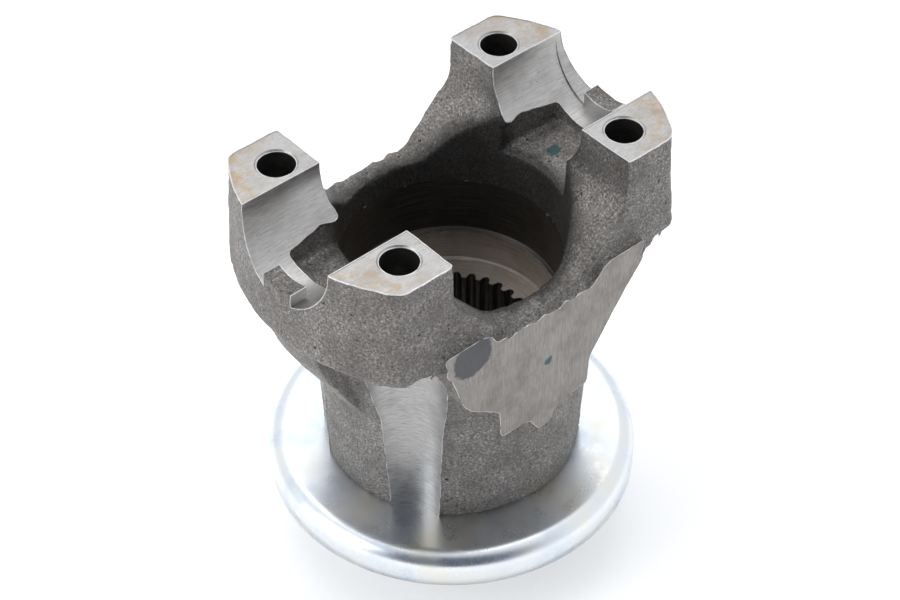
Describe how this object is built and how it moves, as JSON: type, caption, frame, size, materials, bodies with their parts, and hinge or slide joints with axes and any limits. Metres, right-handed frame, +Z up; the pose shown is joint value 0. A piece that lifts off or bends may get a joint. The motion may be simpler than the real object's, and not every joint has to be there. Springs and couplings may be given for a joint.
{
  "type": "forged yoke",
  "caption": "Forged steel yoke with half-round bearing cap seats on its ears, tapped pads for strap bolts, a splined hub with a seal journal, and a pressed dust shield.",
  "frame": {"origin": "centre of the seal journal's end face, on which the yoke stands", "axes": "+Z up the spline's axis towards the pads; X along the axis of the bearing caps; Y across, through the open sides between the ears"},
  "size_m": [0.1028, 0.0914, 0.116],
  "materials": {
    "forged_steel": "as forged and shot blasted, dark grey-brown and rough, with bright machined pads, seats and bores",
    "zinc_plate": "bright zinc plate with a faint blue passivate"
  },
  "bodies": {
    "root": {"yoke": "forged_steel", "dust_shield": "zinc_plate"}
  },
  "joints": []
}
